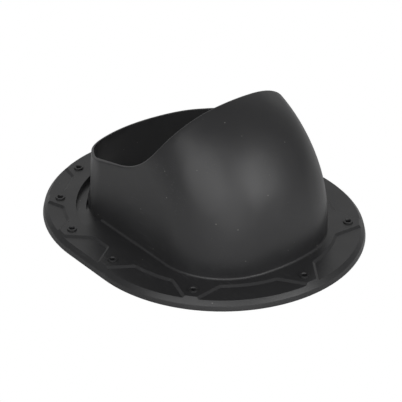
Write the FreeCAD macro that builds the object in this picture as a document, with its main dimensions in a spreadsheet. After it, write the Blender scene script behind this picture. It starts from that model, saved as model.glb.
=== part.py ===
import FreeCAD, Part
import math
import os
import Sketcher
from FreeCAD import Placement, Rotation, Vector

# Pipe flashing boot, moulded in one piece from black polypropylene.
# Frame: +Z up, the base plane at z = 0, the origin at the middle of the flange.
# +X points to the tall back of the hood, -X to the low front; the part is symmetric in Y.

DIMS = {
    # flange outline: a stadium, two equal end arcs joined by straight sides
    "end_radius": 175.0,
    "end_spacing": 70.0,
    "skirt_top": 6.0,
    "skirt_lean": 1.4,
    "plateau_top": 13.2,
    "plateau_radius": 166.8,
    "shoulder_round": 4.0,
    "sheet_thick": 3.0,
    # star-shaped plateau: a ring with one lobe for each screw, pans sunk between the lobes
    "pan_depth": 2.2,
    "riser_run": 3.2,
    "ring_back_radius": 139.0,
    "ring_front_radius": 148.0,
    "lobe_side_angle": 34.0,
    "lobe_side_reach": 13.0,
    "lobe_corner_round": 7.0,
    "lobe_tip_round": 2.0,
    # screws: on a stadium parallel to the outline
    "screw_inset": 21.5,
    "screw_bore": 6.0,
    "screw_seat_bore": 8.0,
    "collar_across": 11.6,
    "collar_rise": 1.7,
    "front_screw_first": 22.6,
    "corner_screw_angle": 51.0,
    "front_screw_last": 79.5,
    "side_screw_x": 22.0,
    # hood: fan sections about a cross axis low in the flange
    "pivot_x": -53.0,
    "pivot_z": 5.0,
    "hood_half_width": 111.7,
    "side_draft": 4.6,
    "back_radius": 170.0,
    "back_centre_x": -9.75,
    "back_centre_z": 38.0,
    "front_reach": 99.7,
    "front_draft": 5.1,
    "corner_share": 0.8826,
    "side_start_share": 0.0281,
    "end_curve_back": 217.0,
    "hood_wall": 4.0,
    "foot_round": 3.0,
    # rim: a shallow front slope and a steep back slope joined by a bend
    "rim_front_z": 80.5,
    "rim_front_slope": 14.9,
    "rim_back_z": 155.9,
    "rim_back_slope": 61.5,
    "rim_bend": 108.0,
    "rim_outer_round": 2.4,
    "rim_inner_round": 0.9,
    # stepped channel round the front of the hood, its inner riser dying into the front wall
    "channel_centre_x": -25.0,
    "channel_cover": 0.2,
    "channel_step_width": 12.5,
    "outer_step_x": -57.0,
    "outer_step_slope": 4.3,
    "inner_step_x": -88.0,
    "inner_step_slope": 15.0,
    "channel_floor": 2.6,
}

doc = FreeCAD.newDocument("pipe_flashing_boot")
sheet = doc.addObject("Spreadsheet::Sheet", "Dims")
for row, (name, size) in enumerate(DIMS.items(), start=1):
    sheet.set("A%d" % row, name)
    sheet.set("B%d" % row, str(size))
    sheet.setAlias("B%d" % row, name)
doc.recompute()


def dim(name):
    return float(sheet.get(name))


def bind(obj, **rules):
    for prop, rule in rules.items():
        obj.setExpression(prop, rule)


def place(obj, x="0", y="0", z="0"):
    for axis, rule in zip("xyz", (x, y, z)):
        obj.setExpression(".Placement.Base." + axis, "(%s) * 1 mm" % rule)


def origin_plane(body, role):
    return next(f for f in body.Origin.OriginFeatures if f.Role == role)


# ---------------------------------------------------------------- flange form

def section_sketch(body, name, role, corners):
    """Closed straight-sided section; a corner is (x, x rule, z, z rule)."""
    sketch = body.newObject("Sketcher::SketchObject", name)
    sketch.AttachmentSupport = (origin_plane(body, role), [""])
    sketch.MapMode = "FlatFace"
    points = [Vector(x, z, 0) for x, _, z, _ in corners]
    for i, point in enumerate(points):
        sketch.addGeometry(Part.LineSegment(point, points[(i + 1) % len(points)]), False)
    for i in range(len(points)):
        sketch.addConstraint(Sketcher.Constraint("Coincident", i, 2, (i + 1) % len(points), 1))
    for i, (x, x_rule, z, z_rule) in enumerate(corners):
        for kind, size, rule in (("DistanceX", x, x_rule), ("DistanceY", z, z_rule)):
            if size == 0:
                axis = -2 if kind == "DistanceX" else -1
                sketch.addConstraint(Sketcher.Constraint("PointOnObject", i, 1, axis))
                continue
            index = sketch.addConstraint(Sketcher.Constraint(kind, -1, 1, i, 1, size))
            sketch.setExpression("Constraints[%d]" % index, "(%s) * 1 mm" % rule)
    return sketch


def flange_form():
    """Solid form of the flange: steep skirt, soft shoulder, sloped band, level top."""
    body = doc.addObject("PartDesign::Body", "flange_form")
    levels = (
        (dim("end_radius"), "Dims.end_radius", 0, ""),
        (dim("end_radius") - dim("skirt_lean"), "Dims.end_radius - Dims.skirt_lean",
         dim("skirt_top"), "Dims.skirt_top"),
        (dim("plateau_radius"), "Dims.plateau_radius", dim("plateau_top"), "Dims.plateau_top"),
    )
    across = [(sign * r, "%d * (%s)" % (sign, r_rule), z, z_rule)
              for sign in (1, -1) for r, r_rule, z, z_rule in levels[::sign]]
    cross = section_sketch(body, "CrossSection", "YZ_Plane", across)
    centre = dim("end_spacing") / 2
    axis_rule = "Dims.end_spacing / 2"
    half = [(centre, axis_rule, 0, "")]
    half += [(r + centre, "%s + %s" % (r_rule, axis_rule), z, z_rule) for r, r_rule, z, z_rule in levels]
    half += [(centre, axis_rule, dim("plateau_top"), "Dims.plateau_top")]
    end = section_sketch(body, "EndSection", "XZ_Plane", half)
    axis = end.addGeometry(Part.LineSegment(Vector(centre, 0, 0), Vector(centre, 10, 0)), True)
    end.addConstraint(Sketcher.Constraint("Vertical", axis))
    end.addConstraint(Sketcher.Constraint("Coincident", axis, 1, 0, 1))
    doc.recompute()
    pad = body.newObject("PartDesign::Pad", "StraightPart")
    pad.Profile = cross
    pad.SideType = "Symmetric"
    bind(pad, Length="Dims.end_spacing * 1 mm")
    doc.recompute()
    turn = body.newObject("PartDesign::Revolution", "RoundEnd")
    turn.Profile = end
    turn.ReferenceAxis = (end, ["Axis0"])
    turn.Angle = 180
    turn.Midplane = True
    doc.recompute()
    mirror = body.newObject("PartDesign::Mirrored", "OtherEnd")
    mirror.Originals = [turn]
    mirror.MirrorPlane = (origin_plane(body, "YZ_Plane"), [""])
    body.Tip = mirror
    doc.recompute()
    level = dim("skirt_top")
    edges = ["Edge%d" % (i + 1) for i, edge in enumerate(mirror.Shape.Edges)
             if abs(edge.BoundBox.ZMin - level) < 0.01 and abs(edge.BoundBox.ZMax - level) < 0.01]
    fillet = body.newObject("PartDesign::Fillet", "Shoulder")
    fillet.Base = (mirror, edges)
    bind(fillet, Radius="Dims.shoulder_round * 1 mm")
    doc.recompute()
    return body


# ------------------------------------------------------- screws and star lobes

def screw_places():
    """(x, y, outward angle) of each screw; the pairs off the long axis are mirrored."""
    centre = dim("end_spacing") / 2
    ring = dim("end_radius") - dim("screw_inset")
    places = [(centre + ring, 0.0, 0.0)]
    corner = dim("corner_screw_angle")
    front = (dim("front_screw_first"), corner, dim("front_screw_last"))
    for side in (1, -1):
        angle = math.radians(corner)
        places.append((centre + ring * math.cos(angle), side * ring * math.sin(angle), side * corner))
        places.append((dim("side_screw_x"), side * ring, side * 90.0))
        for step in front:
            angle = math.radians(180.0 - step)
            places.append((-centre + ring * math.cos(angle), side * ring * math.sin(angle),
                           side * (180.0 - step)))
    return places


SCREWS = screw_places()


def flat_face(points):
    wire = Part.makePolygon([Vector(x, y, 0) for x, y in points + points[:1]])
    return Part.Face(wire)


def disc(x, radius):
    return Part.Face(Part.Wire(Part.makeCircle(radius, Vector(x, 0, 0))))


def lobe_face(x, y, angle):
    """Plan of one lobe: straight sides that close in outwards past the screw."""
    spread = math.tan(math.radians(dim("lobe_side_angle")))
    half = dim("lobe_side_reach") / math.cos(math.radians(dim("lobe_side_angle")))
    inner = -2 * dim("screw_inset")
    outer = dim("screw_inset") - dim("skirt_lean") - 2.0
    plan = [(inner, inner * spread - half), (outer, outer * spread - half)]
    plan += [(along, -across) for along, across in reversed(plan)]
    face = flat_face(plan)
    face.Placement = Placement(Vector(x, y, 0), Rotation(Vector(0, 0, 1), angle))
    return face


def star_solid():
    """Star-shaped plateau with sloped risers, from the pans' level up."""
    centre = dim("end_spacing") / 2
    back = dim("ring_back_radius")
    front = dim("ring_front_radius")
    ring = dim("end_radius") - dim("screw_inset")
    split = -centre - ring * math.cos(math.radians(dim("front_screw_last")))
    middle = flat_face([(split, -back), (centre, -back), (centre, back), (split, back)])
    reach = 2 * dim("end_radius")
    ahead = flat_face([(-reach, -reach), (split, -reach), (split, reach), (-reach, reach)])
    parts = [disc(centre, back), disc(-centre, front).common(ahead)]
    parts += [lobe_face(*spot) for spot in SCREWS]
    up = Vector(0, 0, 1)
    block = middle.extrude(up).fuse([part.extrude(up) for part in parts]).removeSplitter()
    plan = max(block.Faces, key=lambda face: face.CenterOfMass.z)
    plan = Part.Face(plan.OuterWire).translated(Vector(0, 0, -1))
    corner = dim("lobe_corner_round")
    tip = dim("lobe_tip_round")
    soft = plan.makeOffset2D(corner).makeOffset2D(-corner - tip).makeOffset2D(tip)
    foot = soft.makeOffset2D(dim("riser_run"))
    low = foot.Wires[0].translated(Vector(0, 0, dim("plateau_top") - dim("pan_depth")))
    high = soft.Wires[0].translated(Vector(0, 0, dim("plateau_top")))
    return Part.makeLoft([low, high], True, True)


# ------------------------------------------------------------------------ hood

FAN_STEP = 15
FAN_CORE = 1.0


def back_reach(angle):
    """Distance from the pivot to the arc of the tall back, in the plane of symmetry."""
    across = dim("back_centre_x") - dim("pivot_x")
    up = dim("back_centre_z") - dim("pivot_z")
    along = across * math.cos(angle) + up * math.sin(angle)
    return along + math.sqrt(along ** 2 + dim("back_radius") ** 2 - across ** 2 - up ** 2)


def front_reach(angle):
    """Distance from the pivot to the straight, leaning front wall."""
    lean = math.tan(math.radians(dim("front_draft")))
    return dim("front_reach") / (-math.cos(angle) + lean * math.sin(angle))


def apex_reach(degrees):
    """Back arc up to 90 degrees, front wall from 135, an even change between them."""
    if degrees <= 90:
        return back_reach(math.radians(degrees))
    if degrees >= 135:
        return front_reach(math.radians(degrees))
    share = (degrees - 90) / 45
    return (1 - share) * back_reach(math.pi / 2) + share * front_reach(0.75 * math.pi)


def corner_radius():
    """Corner arcs of every section, a share of the front's reach so that they fit before it."""
    return dim("corner_share") * dim("front_reach")


def end_curve_front():
    """Radius of the front end arc that is tangent to corners starting just ahead of the pivot."""
    corner = corner_radius()
    along = (1 - dim("side_start_share")) * dim("front_reach")
    level = dim("hood_half_width") - corner
    return (level ** 2 + along ** 2 - corner ** 2) / (2 * (along - corner))


def fan_wire(degrees, inset):
    """Hood section in a plane through the pivot: drafted sides, corner arcs, end arc."""
    angle = math.radians(degrees)
    share = degrees / 180
    lean = math.atan(math.tan(math.radians(dim("side_draft"))) * math.sin(angle))
    half = dim("hood_half_width") - inset
    reach = apex_reach(degrees) - inset
    corner = corner_radius() - inset
    curve = dim("end_curve_back") * (1 - share) + end_curve_front() * share - inset
    centre = reach - curve
    level = half * math.cos(lean) - corner
    along = centre * math.cos(lean)
    gap = (curve - corner) ** 2 - level ** 2 + 2 * centre * level * math.sin(lean) - centre ** 2
    along += math.sqrt(along ** 2 + gap)
    corner_x = level * math.sin(lean) + along * math.cos(lean)
    corner_y = level * math.cos(lean) - along * math.sin(lean)
    turn = math.atan2(corner_y, corner_x - centre)
    middle = (math.pi / 2 - lean + turn) / 2
    outline = [
        (FAN_CORE, half - FAN_CORE * math.tan(lean)),
        (corner_x + corner * math.sin(lean), corner_y + corner * math.cos(lean)),
        (corner_x + corner * math.cos(middle), corner_y + corner * math.sin(middle)),
        (centre + curve * math.cos(turn), curve * math.sin(turn)),
    ]

    def spot(rho, y):
        return Vector(dim("pivot_x") + rho * math.cos(angle), y, dim("pivot_z") + rho * math.sin(angle))

    start, side, bend, end = (spot(rho, y) for rho, y in outline)
    start2, side2, bend2, end2 = (spot(rho, -y) for rho, y in outline)
    edges = [
        Part.makeLine(start, side),
        Part.Arc(side, bend, end).toShape(),
        Part.Arc(end, spot(reach, 0), end2).toShape(),
        Part.Arc(end2, bend2, side2).toShape(),
        Part.makeLine(side2, start2),
        Part.makeLine(start2, start),
    ]
    return Part.Wire(edges)


def fan_solid(inset):
    """Loft over the fan, with the core about the pivot and the part below it filled."""
    wires = [fan_wire(degrees, inset) for degrees in range(0, 181, FAN_STEP)]
    return Part.makeLoft(wires, True, False)


def level_wire(inset):
    """Closed outline of the hood where the fan's first and last planes are level."""
    back, front = (fan_wire(degrees, inset).OrderedEdges[:-1] for degrees in (0, 180))
    joins = []
    for side in (1, -1):
        y = side * (dim("hood_half_width") - inset)
        z = dim("pivot_z")
        joins.append(Part.makeLine(Vector(dim("pivot_x") - FAN_CORE, y, z),
                                   Vector(dim("pivot_x") + FAN_CORE, y, z)))
    return Part.Wire(Part.__sortEdges__(back + front + joins))


def level_prism(inset, bottom, top):
    """Upright prism over the level outline."""
    face = Part.Face(level_wire(inset))
    face.translate(Vector(0, 0, bottom - dim("pivot_z")))
    return face.extrude(Vector(0, 0, top - bottom))


def rim_cutter():
    """Everything above the rim's S-shaped side profile."""
    wide = 2 * dim("end_radius")
    front = math.radians(dim("rim_front_slope"))
    back = math.radians(dim("rim_back_slope"))
    z_front = dim("rim_front_z") + 100 * math.tan(front)
    z_back = dim("rim_back_z") - 40 * math.tan(back)
    meet_x = (z_front - z_back) / (math.tan(back) - math.tan(front))
    meet_z = z_front + meet_x * math.tan(front)
    tangent = dim("rim_bend") * math.tan((back - front) / 2)
    bisector = (front + back) / 2
    depth = dim("rim_bend") / math.cos((back - front) / 2) - dim("rim_bend")

    def spot(x, z):
        return Vector(x, -wide, z)

    first = spot(meet_x - tangent * math.cos(front), meet_z - tangent * math.sin(front))
    last = spot(meet_x + tangent * math.cos(back), meet_z + tangent * math.sin(back))
    bend = spot(meet_x - depth * math.sin(bisector), meet_z + depth * math.cos(bisector))
    left = spot(-wide, z_front - wide * math.tan(front))
    right = spot(meet_x + wide * math.cos(back), meet_z + wide * math.sin(back))
    corner = spot(-wide, right.z)
    edges = [
        Part.makeLine(left, first),
        Part.Arc(first, bend, last).toShape(),
        Part.makeLine(last, right),
        Part.makeLine(right, corner),
        Part.makeLine(corner, left),
    ]
    return Part.Face(Part.Wire(edges)).extrude(Vector(0, 2 * wide, 0))


# --------------------------------------------------------------------- channel

def side_prism(points):
    """Prism across the whole width over a closed outline in the X-Z plane."""
    wide = 2 * dim("end_radius")
    outline = [Vector(x, -wide, z) for x, z in points]
    return Part.Face(Part.makePolygon(outline + outline[:1])).extrude(Vector(0, 2 * wide, 0))


def channel_solid(grow, drop):
    """Two stepped terraces round the front; grown and dropped it is the bed under them."""
    far = -2 * dim("end_radius")
    high = dim("plateau_top") + dim("end_radius") / 4
    outer_fall = math.tan(math.radians(dim("outer_step_slope")))
    inner_fall = math.tan(math.radians(dim("inner_step_slope")))
    start = dim("outer_step_x")
    top = dim("plateau_top") - drop
    outer = side_prism([(start, top), (start, high), (far, high), (far, top + (far - start) * outer_fall)])
    hinge = dim("inner_step_x")
    hinge_z = top + (hinge - start) * outer_fall
    floor = dim("channel_floor") - drop
    foot = hinge - (hinge_z - floor) / inner_fall
    inner = side_prism([(hinge, hinge_z), (hinge, high), (far, high), (far, floor), (foot, floor)])
    inner_radius = dim("channel_centre_x") - dim("pivot_x") + dim("front_reach") - dim("channel_cover")
    outer_radius = inner_radius + dim("channel_step_width")
    steps = []
    for prism, radius in ((outer, outer_radius), (inner, inner_radius)):
        post = Part.makeCylinder(radius + grow, 4 * high, Vector(dim("channel_centre_x"), 0, -2 * high))
        steps.append(prism.common(post))
    return steps[0].fuse(steps[1])


# -------------------------------------------------------------------- assembly

def feature(name, shape):
    obj = doc.addObject("Part::Feature", name)
    obj.Shape = shape
    return obj


def boolean(kind, name, base, tool):
    obj = doc.addObject("Part::" + kind, name)
    obj.Base = base
    obj.Tool = tool
    return obj


def merge(name, shapes):
    obj = doc.addObject("Part::MultiFuse", name)
    obj.Shapes = shapes
    return obj


form = flange_form()
star = feature("star_plateau", star_solid())

slab = doc.addObject("Part::Box", "pan_level")
bind(slab, Length="4 * Dims.end_radius * 1 mm", Width="4 * Dims.end_radius * 1 mm",
     Height="(Dims.plateau_top - Dims.pan_depth) * 1 mm")
place(slab, x="-2 * Dims.end_radius", y="-2 * Dims.end_radius")
levels = boolean("Fuse", "levels", slab, star)
crown = boolean("Common", "flange_crown", form, levels)

lowered = doc.addObject("Part::Compound", "crown_lowered")
lowered.Links = [crown]
place(lowered, z="-Dims.sheet_thick")
inside = []
for sign in (1, -1):
    end = doc.addObject("Part::Cylinder", "inside_end")
    bind(end, Radius="(Dims.end_radius - Dims.sheet_thick) * 1 mm", Height="Dims.plateau_top * 1 mm")
    place(end, x="%d * Dims.end_spacing / 2" % sign)
    inside.append(end)
middle = doc.addObject("Part::Box", "inside_middle")
bind(middle, Length="Dims.end_spacing * 1 mm", Width="2 * (Dims.end_radius - Dims.sheet_thick) * 1 mm",
     Height="Dims.plateau_top * 1 mm")
place(middle, x="-Dims.end_spacing / 2", y="-(Dims.end_radius - Dims.sheet_thick)")
inside.append(middle)
hollow = boolean("Common", "hollow", lowered, merge("inside", inside))
thick = dim("sheet_thick")
bed = feature("channel_bed", channel_solid(thick, thick))
hollow_clear = boolean("Cut", "hollow_clear_of_bed", hollow, bed)
panel = boolean("Cut", "flange_sheet", crown, hollow_clear)

wall = dim("hood_wall")
level = dim("pivot_z")
opening = feature("sheet_opening", level_prism(wall / 2, -dim("plateau_top"), 2 * dim("plateau_top")))
sheet_opened = boolean("Cut", "sheet_opened", panel, opening)
channelled = boolean("Cut", "sheet_channelled", sheet_opened, feature("channel", channel_solid(0.0, 0.0)))
hood = feature("hood", fan_solid(0.0).cut(rim_cutter()))
hood_bore = feature("hood_bore", fan_solid(wall))
hood_shell = boolean("Cut", "hood_shell", hood, hood_bore)
throat_form = feature("throat_form", level_prism(0.0, 0.0, level))
throat = boolean("Cut", "throat", throat_form, feature("throat_bore", level_prism(wall, -level, 2 * level)))
plugs = []
for sign in (1, -1):
    plug = doc.addObject("Part::Box", "pivot_plug")
    bind(plug, Length="3 * %s mm" % FAN_CORE, Width="0.9 * Dims.hood_wall * 1 mm", Height="3 * %s mm" % FAN_CORE)
    place(plug, x="Dims.pivot_x - 1.5 * %s" % FAN_CORE, z="Dims.pivot_z - 1.5 * %s" % FAN_CORE,
          y="%d * (Dims.hood_half_width - Dims.hood_wall / 2) - 0.45 * Dims.hood_wall" % sign)
    plugs.append(plug)

collars = []
drills = []
seats = []
for x, y, _ in SCREWS:
    collar = doc.addObject("Part::Cone", "collar")
    bind(collar, Radius1="(Dims.collar_across / 2 + 0.4) * 1 mm", Radius2="Dims.collar_across / 2 * 1 mm",
         Height="(Dims.collar_rise + 1) * 1 mm")
    collar.Placement.Base = Vector(x, y, 0)
    collar.setExpression(".Placement.Base.z", "(Dims.plateau_top - 1) * 1 mm")
    collars.append(collar)
    drill = doc.addObject("Part::Cylinder", "screw_hole")
    bind(drill, Radius="Dims.screw_bore / 2 * 1 mm", Height="2 * Dims.plateau_top * 1 mm")
    drill.Placement.Base = Vector(x, y, 0)
    drills.append(drill)
    seat = doc.addObject("Part::Cone", "screw_seat")
    bind(seat, Radius1="Dims.screw_bore / 2 * 1 mm", Radius2="(Dims.screw_seat_bore / 2 + 0.5) * 1 mm",
         Height="(Dims.screw_seat_bore - Dims.screw_bore + 1) / 2 * 1 mm")
    seat.Placement.Base = Vector(x, y, 0)
    seat.setExpression(".Placement.Base.z",
                       "(Dims.plateau_top + Dims.collar_rise - (Dims.screw_seat_bore - Dims.screw_bore) / 2) * 1 mm")
    seats.append(seat)

upper = [hood_shell, throat] + plugs + collars
back_body = merge("back_body", [sheet_opened] + upper)
front_body = merge("front_body", [channelled] + upper)
doc.recompute()


def is_foot(edge):
    """True for the curved edges where the hood stands on the plateau."""
    level = dim("plateau_top")
    flat = abs(edge.BoundBox.ZMin - level) < 0.01 and abs(edge.BoundBox.ZMax - level) < 0.01
    return flat and edge.Curve.TypeId == "Part::GeomBSplineCurve"


def is_rim(edge):
    """True for the edges along the rim, inside and outside, but not across the wall."""
    return edge.BoundBox.ZMin > 0.75 * dim("rim_front_z") and edge.Curve.TypeId != "Part::GeomLine"


def is_inside(edge):
    """True for an edge on the inner surface of the hood."""
    middle = edge.valueAt((edge.FirstParameter + edge.LastParameter) / 2)
    return hood_bore.Shape.distToShape(Part.Vertex(middle))[0] < 0.01


def soften(name, base, with_foot):
    rounds = []
    for number, edge in enumerate(base.Shape.Edges, start=1):
        if is_foot(edge) and with_foot:
            rounds.append((number, dim("foot_round"), dim("foot_round")))
        elif is_rim(edge):
            size = dim("rim_inner_round") if is_inside(edge) else dim("rim_outer_round")
            rounds.append((number, size, size))
    fillet = doc.addObject("Part::Fillet", name)
    fillet.Base = base
    fillet.Edges = rounds
    return fillet


halves = []
for name, base, is_back in (("back", back_body, True), ("front", front_body, False)):
    block = doc.addObject("Part::Box", name + "_block")
    bind(block, Length="2 * Dims.end_radius * 1 mm", Width="4 * Dims.end_radius * 1 mm",
         Height="4 * Dims.end_radius * 1 mm")
    place(block, x="Dims.outer_step_x" + ("" if is_back else " - 2 * Dims.end_radius"),
          y="-2 * Dims.end_radius", z="-Dims.end_radius")
    halves.append(boolean("Common", name + "_half", soften(name + "_softened", base, is_back), block))
softened = merge("softened", halves)

drilled = boolean("Cut", "drilled", softened, merge("drills", drills))
boot = boolean("Cut", "boot", drilled, merge("seats", seats))
boot.Label = "flashing_boot"
boot.Placement = Placement(Vector(0, 0, 0), Rotation())
doc.recompute()

for obj in doc.Objects:
    if "Invalid" in obj.State or "Error" in obj.State:
        raise ValueError("%s did not compute" % obj.Name)
    if obj.TypeId.startswith(("Part::", "PartDesign::")) and (obj.Shape.isNull() or not obj.Shape.isValid()):
        raise ValueError("%s has no valid shape" % obj.Name)
if len(boot.Shape.Solids) != 1:
    raise ValueError("the boot must be one solid")

os.makedirs("parts", exist_ok=True)
boot.Shape.exportStep("parts/%s.step" % boot.Label)
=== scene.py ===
# %% [markdown]
# # A moulded pipe flashing boot
# This is the boot that keeps rain out where a pipe comes through a roof: an oval flange that is
# screwed down, and an open hood that rises from it. It is one plastic moulding, so there is one
# solid to dress. The cells below load it, lean in the front corners of its hood, set the camera,
# the floor and the lights, and then build the finish of the plastic.

import math
import bpy
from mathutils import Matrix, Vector


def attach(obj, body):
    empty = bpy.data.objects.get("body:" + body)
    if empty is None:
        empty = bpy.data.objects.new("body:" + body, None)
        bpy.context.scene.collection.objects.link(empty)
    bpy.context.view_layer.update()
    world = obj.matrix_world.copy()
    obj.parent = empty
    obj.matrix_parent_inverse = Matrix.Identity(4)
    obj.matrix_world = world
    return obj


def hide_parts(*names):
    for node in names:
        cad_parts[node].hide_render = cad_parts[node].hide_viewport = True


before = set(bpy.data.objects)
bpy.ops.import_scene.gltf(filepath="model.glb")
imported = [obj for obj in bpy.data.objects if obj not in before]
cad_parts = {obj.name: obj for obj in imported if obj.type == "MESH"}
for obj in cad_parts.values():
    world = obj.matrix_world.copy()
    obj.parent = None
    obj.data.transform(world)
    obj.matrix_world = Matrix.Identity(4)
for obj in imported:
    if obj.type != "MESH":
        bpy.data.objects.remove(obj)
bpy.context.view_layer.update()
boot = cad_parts["flashing_boot"]

# %% [markdown]
# ## The hood's front corners
# The solid's hood is a loft over a fan of sections. On the real moulding its two front corners
# lean in a few millimetres more toward the rim, which opens the crescent steps beside them to
# view. A copy of the solid is merged into one closed mesh, its flange is hidden so that it keeps
# its place, and the front of the hood is narrowed with a smooth falloff. This is quicker than a
# new loft, but it has a price: small creases along the front of the foot, where the moved wall
# meets the fixed flange. A new loft of the solid would not have them.

# %% A copy of the solid, as one closed mesh
MERGE_WITHIN = 0.000001

bpy.ops.object.select_all(action="DESELECT")
finished = boot.copy()
finished.data = boot.data.copy()
finished.name = "finished_boot"
bpy.context.collection.objects.link(finished)
finished.select_set(True)
bpy.context.view_layer.objects.active = finished
bpy.ops.object.mode_set(mode="EDIT")
bpy.ops.mesh.select_mode(type="VERT")
bpy.ops.mesh.select_all(action="SELECT")
bpy.ops.mesh.remove_doubles(threshold=MERGE_WITHIN)
bpy.ops.mesh.select_all(action="DESELECT")
bpy.ops.object.mode_set(mode="OBJECT")
print(len(finished.data.vertices), "corners,", len(finished.data.polygons), "faces")

# %% Narrow the front of the hood toward its rim
FLANGE_TOP = 0.0155
FRONT_FROM_X = -0.112
FRONT_FROM_Z = 0.050
NARROWED_TO = 0.885
FADES_OVER = 0.05

for vertex in finished.data.vertices:
    vertex.select = vertex.co.z < FLANGE_TOP
bpy.ops.object.mode_set(mode="EDIT")
bpy.ops.mesh.hide(unselected=False)
bpy.ops.object.mode_set(mode="OBJECT")
for vertex in finished.data.vertices:
    vertex.select = vertex.co.x < FRONT_FROM_X and vertex.co.z > FRONT_FROM_Z
bpy.ops.object.mode_set(mode="EDIT")
bpy.ops.transform.resize(value=(1, NARROWED_TO, 1), center_override=(0, 0, 0),
                         use_proportional_edit=True, proportional_edit_falloff="SMOOTH",
                         proportional_size=FADES_OVER)
bpy.ops.mesh.reveal(select=False)
bpy.ops.object.mode_set(mode="OBJECT")
print("front narrowed to", NARROWED_TO)

# %% [markdown]
# Merging leaves the solid's stored normals out of date, so they are cleared and the shading is
# made anew. The net of a round turns only a few degrees from face to face, and the risers of the
# flange turn more, so a small angle tells rounds from crisp borders.

# %% Shading
ROUND_UNDER_DEG = 14
bpy.ops.mesh.customdata_custom_splitnormals_clear()
bpy.ops.object.shade_smooth_by_angle(angle=math.radians(ROUND_UNDER_DEG))
print("rounds shaded smooth up to", ROUND_UNDER_DEG, "degrees")

# %% The finished piece in the solid's place
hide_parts("flashing_boot")
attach(finished, "root")

# %% [markdown]
# ## Camera
# The part is seen from its right rear, well above the flange, with a long lens from a few metres
# away, which keeps the oval flange free of strong perspective. Angles are in degrees, the lens
# and the sensor in millimetres, and the rest in metres.

# %% Camera
AZIMUTH = 51.377
ELEVATION = 31.125
DISTANCE = 2.6445
LENS = 191.02
SENSOR_WIDTH = 36
FARTHEST_SEEN = 50
TARGET = Vector((-0.0343, 0.02452, 0.0))

bpy.ops.object.select_all(action="DESELECT")
azimuth = math.radians(AZIMUTH)
elevation = math.radians(ELEVATION)
back = Vector((math.sin(azimuth) * math.cos(elevation), -math.cos(azimuth) * math.cos(elevation),
               math.sin(elevation)))
bpy.ops.object.camera_add(location=TARGET + DISTANCE * back)
camera = bpy.context.object
camera.rotation_euler = back.to_track_quat("Z", "Y").to_euler()
camera.data.lens = LENS
camera.data.sensor_width = SENSOR_WIDTH
camera.data.clip_end = FARTHEST_SEEN
bpy.context.scene.camera = camera
print("camera at", [round(v, 3) for v in camera.location])

# %% Plain colour output
# The standard view keeps a white background white, where a film-like one would grey it.
bpy.context.scene.view_settings.view_transform = "Standard"

# %% [markdown]
# ## Floor, surroundings and lamps
# The boot stands on a white floor in a white room, as small black goods are usually shown. What
# the eye reads on black plastic is mostly reflection, so the room matters: a dim white world gives
# the flange its soft grey, and two large soft lamps, one to each side of the camera, give the hood
# its two broad highlights. Four weaker lamps fill the space between them and the far side.

# %% Colours from hex values
def linear(hex_colour):
    """An sRGB colour written in hex, as the linear RGBA that shader sockets take."""
    parts = [int(hex_colour[i:i + 2], 16) / 255 for i in (1, 3, 5)]
    return [p / 12.92 if p <= 0.04045 else ((p + 0.055) / 1.055) ** 2.4 for p in parts] + [1.0]


# %% A node with its settings and links
def add_node(tree, kind, settings=None, inputs=None):
    """Adds a node; an input is a plain value or the output socket that feeds it."""
    node = tree.nodes.new(kind)
    for name, value in (settings or {}).items():
        setattr(node, name, value)
    for name, value in (inputs or {}).items():
        if isinstance(value, bpy.types.NodeSocket):
            tree.links.new(value, node.inputs[name])
        else:
            node.inputs[name].default_value = value
    return node


# %% White surroundings
SKY_LEVEL = 0.26
world = bpy.data.worlds.new("white room")
bpy.context.scene.world = world
world.use_nodes = True
tree = world.node_tree
tree.nodes.clear()
rays = add_node(tree, "ShaderNodeLightPath")
seen = add_node(tree, "ShaderNodeMath", {"operation": "MAXIMUM"},
                {0: rays.outputs["Is Camera Ray"], 1: rays.outputs["Is Transmission Ray"]})
level = add_node(tree, "ShaderNodeMapRange", None,
                 {"Value": seen.outputs[0], "To Min": SKY_LEVEL, "To Max": 1.0})
sky = add_node(tree, "ShaderNodeBackground", None,
               {"Color": linear("#ffffff"), "Strength": level.outputs["Result"]})
add_node(tree, "ShaderNodeOutputWorld", None, {"Surface": sky.outputs[0]})

# %% Floor
FLOOR_ACROSS = 8.0
FLOOR_GAP = 0.0005
bpy.ops.object.select_all(action="DESELECT")
bpy.ops.mesh.primitive_plane_add(size=FLOOR_ACROSS, location=(0, 0, -FLOOR_GAP))
floor = bpy.context.object
floor.name = "floor"
paper = bpy.data.materials.new("white paper floor")
paper.use_nodes = True
tree = paper.node_tree
tree.nodes.clear()
rays = add_node(tree, "ShaderNodeLightPath")
matt = add_node(tree, "ShaderNodeBsdfDiffuse", None, {"Color": linear("#e6e6e6")})
bright = add_node(tree, "ShaderNodeEmission", None, {"Color": linear("#ffffff"), "Strength": 1.0})
seen = add_node(tree, "ShaderNodeMixShader", None,
                {0: rays.outputs["Is Camera Ray"], 1: matt.outputs[0], 2: bright.outputs[0]})
add_node(tree, "ShaderNodeOutputMaterial", None, {"Surface": seen.outputs[0]})
floor.data.materials.append(paper)

# %% Soft lamps
def soft_lamp(name, azimuth_deg, elevation_deg, across, watts, distance=2.4):
    """A square area lamp turned to the boot from a compass direction and a height angle."""
    turn = math.radians(azimuth_deg)
    rise = math.radians(elevation_deg)
    way = Vector((math.sin(turn) * math.cos(rise), -math.cos(turn) * math.cos(rise), math.sin(rise)))
    bpy.ops.object.light_add(type="AREA", location=distance * way)
    lamp = bpy.context.object
    lamp.name = name
    lamp.rotation_euler = way.to_track_quat("Z", "Y").to_euler()
    lamp.data.size = across
    lamp.data.energy = watts
    lamp.visible_camera = False
    return lamp


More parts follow.
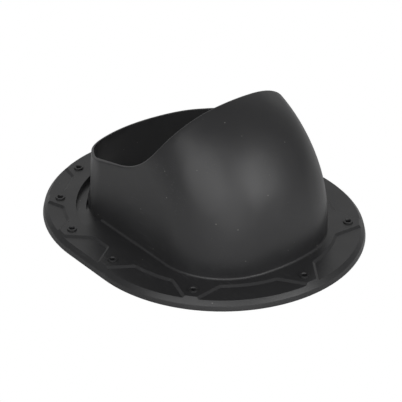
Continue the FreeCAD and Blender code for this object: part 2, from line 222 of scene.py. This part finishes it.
# Name, direction and height in degrees, size in metres, power in watts.
LAMPS = (
    ("left key lamp", 22, 30, 1.9, 21),
    ("right key lamp", 105, 28, 1.5, 19),
    ("low front lamp", 62, 14, 1.6, 10),
    ("high front lamp", 62, 42, 1.6, 7),
    ("far left fill lamp", -105, 24, 2.0, 4),
    ("far fill lamp", -150, 30, 2.0, 4),
)
for lamp in LAMPS:
    soft_lamp(*lamp)
print(len(LAMPS), "soft lamps")

# %% [markdown]
# ## Moulded polypropylene
# The boot is black polypropylene, injected into a steel mould. The mould was spark eroded, which
# leaves a fine even grain on the plastic: it breaks sharp reflections into soft ones and keeps
# the part semi-gloss. The grain could be real geometry, but its bumps are hundredths of a
# millimetre high, so a bump on two sizes of noise does it. Everything is scaled from sizes in
# millimetres, on Object coordinates, so that the finish stays on the part when the part turns.

# %% Pattern scales from real sizes
def per_size(size_mm):
    """The scale of a pattern whose features are this many millimetres across."""
    return 1000.0 / size_mm


def mm(length_mm):
    """A length in millimetres as metres."""
    return length_mm / 1000.0


# %% Black polypropylene
plastic = bpy.data.materials.new("black polypropylene, moulded")
plastic.use_nodes = True
tree = plastic.node_tree
tree.nodes.clear()
place = add_node(tree, "ShaderNodeTexCoord").outputs["Object"]
print("new material:", plastic.name)

# %% [markdown]
# ### Spark-eroded grain
# Real grain of this class is about 0.3 mm wide. It is drawn 0.9 mm wide, because finer grain
# would not show at this distance. A second, wider wave of a few centimetres is the way thick and
# thin walls sink as they cool, which makes long reflections waver a little.

# %% Grain and sink
GRAIN_MM = 0.9
GRAIN_HIGH_MM = 0.12
GRAIN_STRENGTH = 0.35
SINK_MM = 34
SINK_DEEP_MM = 0.5
grain = add_node(tree, "ShaderNodeTexNoise", None,
                 {"Vector": place, "Scale": per_size(GRAIN_MM), "Detail": 2.0, "Roughness": 0.6})
sink = add_node(tree, "ShaderNodeTexNoise", None,
                {"Vector": place, "Scale": per_size(SINK_MM), "Detail": 1.0})
waved = add_node(tree, "ShaderNodeBump", None,
                 {"Height": sink.outputs["Fac"], "Strength": 1.0, "Distance": mm(SINK_DEEP_MM)})
grained = add_node(tree, "ShaderNodeBump", None,
                   {"Height": grain.outputs["Fac"], "Strength": GRAIN_STRENGTH,
                    "Distance": mm(GRAIN_HIGH_MM), "Normal": waved.outputs["Normal"]})
print("grain", GRAIN_MM, "mm, sink", SINK_MM, "mm")

# %% [markdown]
# ### Gloss
# The melt cools faster in some places than in others, so the gloss drifts slowly over the part.
# The roughness of plain moulded polypropylene is about 0.3 to 0.45.

# %% Drifting gloss
GLOSS_DRIFT_MM = 45
DRIFT_RANGE = (0.3, 0.7)
SHINIEST = 0.34
DULLEST = 0.40
drift = add_node(tree, "ShaderNodeTexNoise", None,
                 {"Vector": place, "Scale": per_size(GLOSS_DRIFT_MM), "Detail": 3.0})
gloss = add_node(tree, "ShaderNodeMapRange", None,
                 {"Value": drift.outputs["Fac"], "From Min": DRIFT_RANGE[0],
                  "From Max": DRIFT_RANGE[1],
                  "To Min": SHINIEST, "To Max": DULLEST})
print("roughness from", SHINIEST, "to", DULLEST)

# %% [markdown]
# ### Scuffs from handling
# Soft black plastic scuffs in its box and on the bench. A scuff is a thin, short, slightly
# greyer and duller line, in truth a tenth or two of a millimetre wide: it is drawn wider, because
# a finer one would not show. Stretched noise gives the lines, and a second, larger noise keeps
# them to a few patches, as on a new part.

# %% Scuffs
SCUFF_LONG_MM = 22
SCUFF_WIDE_MM = 0.8
SCUFF_PATCH_MM = 48
SCUFF_LINE_RANGE = (0.66, 0.76)
SCUFF_PATCH_RANGE = (0.48, 0.60)
SCUFF_TILT = (0.5, 0.3)
SCUFF_TURNS = (0.4, 2.1)


def scuff_lines(turn):
    """Mask of thin lines along one direction, turned about the vertical."""
    along = add_node(tree, "ShaderNodeMapping", None,
                     {"Vector": place, "Rotation": (*SCUFF_TILT, turn),
                      "Scale": (per_size(SCUFF_LONG_MM), per_size(SCUFF_WIDE_MM),
                                per_size(SCUFF_WIDE_MM))})
    lines = add_node(tree, "ShaderNodeTexNoise", None,
                     {"Vector": along.outputs["Vector"], "Scale": 1.0, "Detail": 1.0})
    return add_node(tree, "ShaderNodeMapRange", None,
                    {"Value": lines.outputs["Fac"], "From Min": SCUFF_LINE_RANGE[0],
                     "From Max": SCUFF_LINE_RANGE[1]})


patches = add_node(tree, "ShaderNodeTexNoise", None,
                   {"Vector": place, "Scale": per_size(SCUFF_PATCH_MM), "Detail": 1.0})
patch = add_node(tree, "ShaderNodeMapRange", None,
                 {"Value": patches.outputs["Fac"], "From Min": SCUFF_PATCH_RANGE[0],
                  "From Max": SCUFF_PATCH_RANGE[1]})
both = add_node(tree, "ShaderNodeMath", {"operation": "MAXIMUM"},
                {entry: scuff_lines(turn).outputs[0] for entry, turn in enumerate(SCUFF_TURNS)})
scuffs = add_node(tree, "ShaderNodeMath", {"operation": "MULTIPLY"},
                  {0: both.outputs[0], 1: patch.outputs[0]})
print("scuffs about", SCUFF_LONG_MM, "mm long")

# %% [markdown]
# ### Dust
# Black plastic holds a static charge and catches specks of dust. Each cell of a Voronoi pattern
# has one point, and the specks are the points of the few cells whose random value is high. Real
# specks are a few tenths of a millimetre across, and these are coarser so that they show.

# %% Dust specks
DUST_APART_MM = 9
DUST_ACROSS_MM = 1.6
DUST_FREE_SHARE = 0.78
cells = add_node(tree, "ShaderNodeTexVoronoi", None,
                 {"Vector": place, "Scale": per_size(DUST_APART_MM), "Randomness": 1.0})
speck = add_node(tree, "ShaderNodeMapRange", None,
                 {"Value": cells.outputs["Distance"],
                  "From Min": DUST_ACROSS_MM / DUST_APART_MM / 2,
                  "From Max": DUST_ACROSS_MM / DUST_APART_MM / 4})
draw = add_node(tree, "ShaderNodeSeparateColor", None, {"Color": cells.outputs["Color"]})
chosen = add_node(tree, "ShaderNodeMath", {"operation": "GREATER_THAN"},
                  {0: draw.outputs["Red"], 1: DUST_FREE_SHARE})
dust = add_node(tree, "ShaderNodeMath", {"operation": "MULTIPLY"},
                {0: speck.outputs[0], 1: chosen.outputs[0]})
print("dust specks", DUST_ACROSS_MM, "mm across")

# %% [markdown]
# ### The finished surface
# Carbon black makes the plastic itself a very dark, neutral grey. Scuffs lighten it a little and
# dull it, and dust lies over both.

# %% Colour, gloss and grain together
# The Mix node keeps a set of sockets for each kind of data: these three are its colours.
FIRST_COLOUR = 6
SECOND_COLOUR = 7
MIXED_COLOUR = 2
SCUFF_DULLS_BY = 0.15

scuffed = add_node(tree, "ShaderNodeMix", {"data_type": "RGBA"},
                   {"Factor": scuffs.outputs[0], FIRST_COLOUR: linear("#252526"),
                    SECOND_COLOUR: linear("#3b3b3c")})
dusty = add_node(tree, "ShaderNodeMix", {"data_type": "RGBA"},
                 {"Factor": dust.outputs[0], FIRST_COLOUR: scuffed.outputs[MIXED_COLOUR],
                  SECOND_COLOUR: linear("#6e6d6a")})
dulled = add_node(tree, "ShaderNodeMath", {"operation": "MULTIPLY_ADD"},
                  {0: scuffs.outputs[0], 1: SCUFF_DULLS_BY, 2: gloss.outputs[0]})
skin = add_node(tree, "ShaderNodeBsdfPrincipled", None,
                {"Base Color": dusty.outputs[MIXED_COLOUR], "Roughness": dulled.outputs[0], "IOR": 1.49,
                 "Normal": grained.outputs["Normal"]})
add_node(tree, "ShaderNodeOutputMaterial", None, {"Surface": skin.outputs[0]})
for slot in finished.material_slots:
    slot.material = plastic
print(len(tree.nodes), "nodes in", plastic.name)
